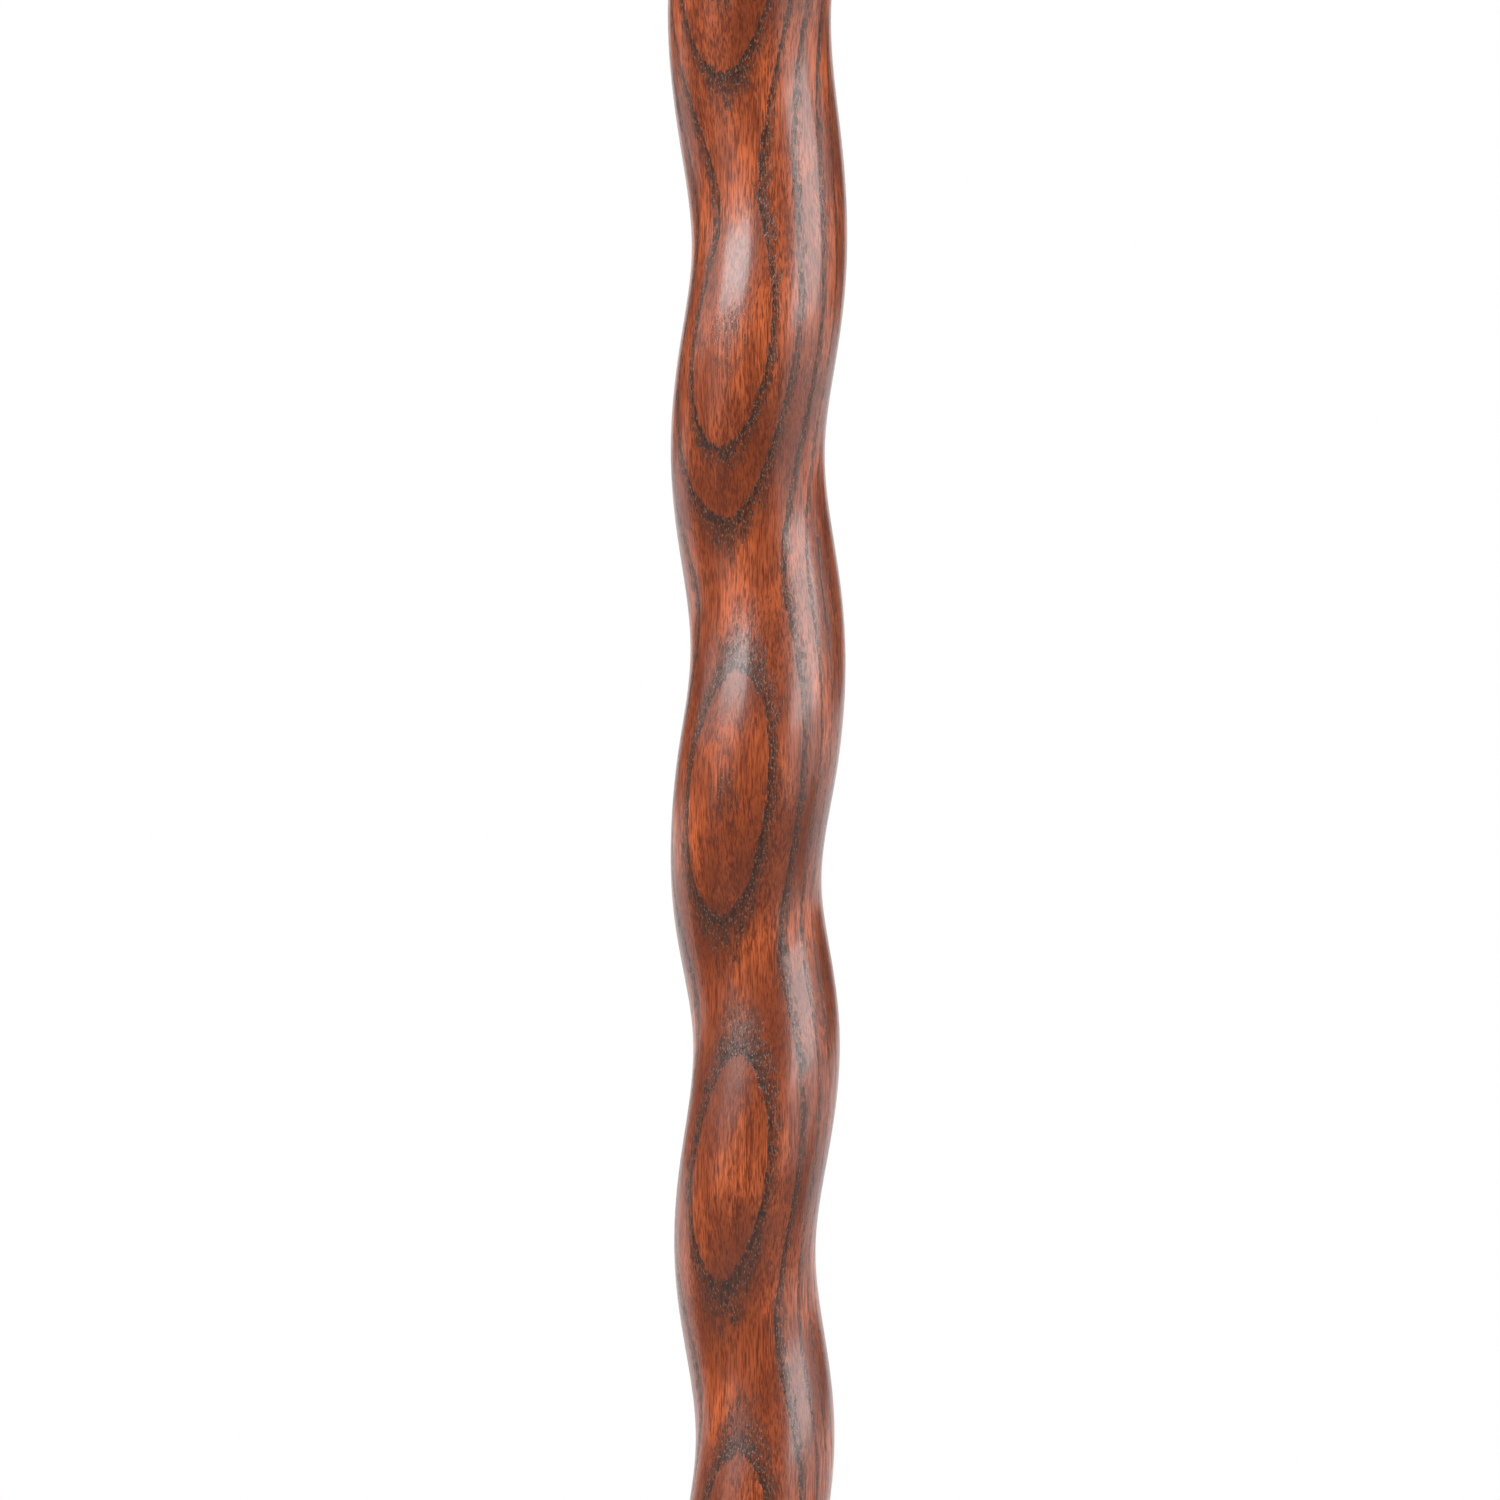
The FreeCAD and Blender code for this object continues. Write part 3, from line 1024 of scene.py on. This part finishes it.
def sleeve_section():
    """The flare above the foot, the ribbed sleeve, the thick mouth and the socket inside."""
    points = []
    spread = foot_radius - flare_inset - sleeve_radius
    for step in range(1, flare_steps + 1):
        share = step / flare_steps
        radius = sleeve_radius + spread * (1 - share) ** flare_bend
        points.append((radius, flare_low + flare_rise * share))
    for rib in range(rib_count):
        low = rib_low + rib_pitch * rib
        high = low + rib_slope + rib_flat
        points += [
            (sleeve_radius, low), (sleeve_radius + rib_depth, low + rib_slope),
            (sleeve_radius + rib_depth, high), (sleeve_radius, high + rib_slope),
        ]
    top = ferrule_top
    points += [
        (sleeve_radius, top - mouth_height), (mouth_radius, top - mouth_height + mouth_slope),
        (mouth_radius, top - mouth_slope), (mouth_radius - mouth_slope, top),
        (socket_radius, top), (socket_radius, washer_low.z), (0, washer_low.z),
    ]
    return points


# %% The ferrule
def build_ferrule():
    """Spins the half section. It rides on its own body, because it can be pulled off."""
    bm = turned_piece(sole_section() + sleeve_section(), 96)
    break_edges(bm, ferrule_edge, 28)
    finish_piece(bm, "rubber_ferrule", "tip", rubber, 50, "ferrule")


build_ferrule()

# %% [markdown]
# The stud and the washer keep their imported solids, because a rod and a disc of zinc-plated steel
# have no more shape than that. They only get a finish.

# %% Steel
def plated_steel():
    """Zinc-plated steel, faintly patchy."""
    steel = PatternRecipe("plated_steel")
    patches = steel.noise(steel.place(), (2, 2, 2), 3.0, 0.6)
    steel.set(
        Base_Color=steel.blend(patches, swatch(150, 152, 156), swatch(186, 186, 184)),
        Metallic=1.0,
        Roughness=0.3 + patches * 0.15,
        Normal=steel.bump(patches * 0.01),
    )
    return steel.material


steel = plated_steel()
for name in ("handle_stud", "ferrule_washer"):
    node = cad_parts[name]
    node.data.materials.clear()
    node.data.materials.append(steel)
    print("steel on:", name)

# %% [markdown]
# ## The studio
# The stick is photographed level, from far off and through a long lens, against white. The picture
# is 251 mm tall at the stick, and the stick leans by a fifth of a degree in it, which is the
# camera's doing.

# %% Camera
view_height = 250.7 * mm
view_middle = 449.6 * mm
camera_distance = 1.8
camera_side_step = -1.2 * mm
camera_roll = math.radians(-0.21)
sensor = 36.0
camera_data = bpy.data.cameras.new("camera")
camera_data.sensor_width = sensor
camera_data.lens = sensor * camera_distance / view_height
camera = put_in_scene("camera", camera_data)
camera.location = (camera_side_step, -camera_distance, view_middle)
camera.rotation_euler = (math.radians(90), camera_roll, 0)
bpy.context.scene.camera = camera
print("lens:", round(camera_data.lens), "mm")

# %% [markdown]
# ### Soft boxes
# The gloss on a varnished stick is a map of its studio: what shines at a slope of a known direction
# stands where that slope's mirror points. Read that way, there is a soft box to the right and a
# little above, which makes the pale band down the stick's right side, and a brighter one high to
# the left, which shines on every slope that looks up. Weaker ones fill in below and behind them,
# and one is behind the stick. Each is given as the patch of the stick's view that it fills.

# %% Soft boxes
def soft_box(name, azimuths, elevations, brightness, distance):
    """A lamp that fills a patch: degrees right of the camera, and degrees up."""
    turn = math.radians(sum(azimuths) / 2)
    lift = math.radians(sum(elevations) / 2)
    half_width = math.radians(azimuths[1] - azimuths[0]) / 2
    half_height = math.radians(elevations[1] - elevations[0]) / 2
    light = bpy.data.lights.new(name, "AREA")
    light.shape = "RECTANGLE"
    light.size = 2 * distance * math.cos(lift) * math.tan(half_width)
    light.size_y = 2 * distance * math.tan(half_height)
    light.energy = brightness * math.pi * light.size * light.size_y
    level = Vector((math.sin(turn), -math.cos(turn), 0))
    away = level * math.cos(lift) + Vector((0, 0, math.sin(lift)))
    box = put_in_scene(name, light)
    box.location = Vector((0, 0, view_middle)) + away * distance
    box.rotation_euler = away.to_track_quat("Z", "Y").to_euler()
    box.visible_camera = False
    print(name, "is", round(light.size, 2), "by", round(light.size_y, 2), "m")


for box_and_place in (
    ("right_box_high", (38, 86), (4, 48), 5.6, 1.5),
    ("right_box_low", (42, 90), (-20, 8), 1.1, 1.6),
    ("right_box_rear", (80, 112), (-10, 28), 0.85, 1.7),
    ("left_box_high", (-76, -26), (18, 60), 10.2, 1.5),
    ("left_box_low", (-66, -38), (-6, 18), 0.6, 1.6),
    ("left_box_rear", (-112, -76), (10, 44), 1.3, 1.7),
    ("back_box", (146, 214), (32, 66), 3.0, 1.7),
):
    soft_box(*box_and_place)

# %% [markdown]
# ### World
# The white round the stick is the world as the camera, gloss and glass see it. For light that falls
# on the stick, the world is dimmer. Light Path tells the two apart. The world is a recipe too.

# %% World
def as_seen(recipe):
    """One for a ray from the camera, from gloss or from glass, nought for light that falls."""
    path = recipe.node("ShaderNodeLightPath").outputs
    seen = Strand(recipe, path["Is Camera Ray"]).at_least(path["Is Glossy Ray"])
    return seen.at_least(path["Is Transmission Ray"])


class Sky(Recipe):
    """A world, written node by node."""

    def __init__(self, name):
        self.world = bpy.data.worlds.new(name)
        self.begin(self.world, "ShaderNodeBackground", "ShaderNodeOutputWorld")


sky = Sky("studio")
seen_level, falling_level = 1.0, 0.45
sky.set(
    Color=(1, 1, 1, 1),
    Strength=as_seen(sky) * (seen_level - falling_level) + falling_level,
)
bpy.context.scene.world = sky.world
print("the world shines at", falling_level, "and shows at", seen_level)

# %% [markdown]
# ### Floor
# The floor is a round pale sheet whose rim fades out, so that it never shows as a disc. The boxes
# light it past white, so its colour is darker as the camera and gloss see it: then it shows just
# under white and keeps the stick's shadow. It goes with the ferrule, because a stick whose ferrule
# is pulled off is lifted out of it while the ferrule stays on the ground.

# %% Floor
floor_radius = 0.85
floor_drop = 0.2 * mm
floor_fade = (260.0, 820.0)


def make_floor():
    """A round pale floor just under the sole, whose rim fades into the white."""
    sheet = PatternRecipe("pale_floor")
    place = sheet.place()
    settings = {"operation": "LENGTH"}
    across = sheet.strand("ShaderNodeVectorMath", settings, {0: place}, "Value")
    sheet.set(
        Base_Color=sheet.blend(as_seen(sheet), swatch(240, 239, 237), swatch(192, 191, 189)),
        Roughness=0.8,
        Specular_IOR_Level=0.1,
        Alpha=across.fade(*floor_fade),
    )
    bm = bmesh.new()
    bmesh.ops.create_circle(bm, cap_ends=True, segments=96, radius=floor_radius)
    floor = put_in_scene("floor", off_the_bench(bm, "floor"))
    floor.location.z = -floor_drop
    floor.data.materials.append(sheet.material)
    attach(floor, "tip")
    print("floor across:", floor_radius * 2, "m")


make_floor()

# %% [markdown]
# ### Black cloth
# A black cloth stands behind the camera, as in a real studio, so that the lacquer there reflects
# darkness and the stain keeps its depth. It is drawn as one upright line with a strip on the
# ground, swept round all but the gap behind the stick. Its two wings beside that gap hang higher,
# so that light gets in under them. The camera itself doesn't see it.

# %% Cloth
cloth_radius = 2.4
cloth_inner_radius = 0.8
cloth_top = 2.6
cloth_gap = math.radians(28)
cloth_drop = 2 * mm
wing_slope = 0.28


def under_a_wing(face):
    """Whether a face of the cloth is low down beside the gap."""
    middle = face.calc_center_median()
    return middle.z < view_middle and middle.y > wing_slope * abs(middle.x)


def make_cloth():
    """A cloth round the camera's side, down to the pale floor, with wings that hang higher."""
    bm = bmesh.new()
    start = Vector((-math.sin(cloth_gap), math.cos(cloth_gap), 0))
    ground = Vector((0, 0, -cloth_drop))
    pen = bm.verts.new(start * cloth_inner_radius + ground)
    for place in (ground, Vector((0, 0, view_middle)), Vector((0, 0, cloth_top))):
        pen = draw_to(bm, pen, start * cloth_radius + place)
    bmesh.ops.spin(
        bm, geom=bm.verts[:] + bm.edges[:], cent=(0, 0, 0), axis=(0, 0, 1),
        angle=2 * math.pi - 2 * cloth_gap, steps=76, use_duplicate=False,
    )
    cut_away = [face for face in bm.faces if under_a_wing(face)]
    bmesh.ops.delete(bm, geom=cut_away, context="FACES")
    cloth = put_in_scene("black_cloth", off_the_bench(bm, "black_cloth"))
    sheet = Recipe("black_cloth")
    sheet.set(Base_Color=swatch(36, 34, 34), Roughness=0.9, Specular_IOR_Level=0.1)
    cloth.data.materials.append(sheet.material)
    cloth.visible_camera = False
    print("faces of cloth:", len(cloth.data.polygons))


make_cloth()

# %% [markdown]
# ## View settings
# The Standard view shows colours as they are given.

# %% View settings
bpy.context.scene.view_settings.view_transform = "Standard"
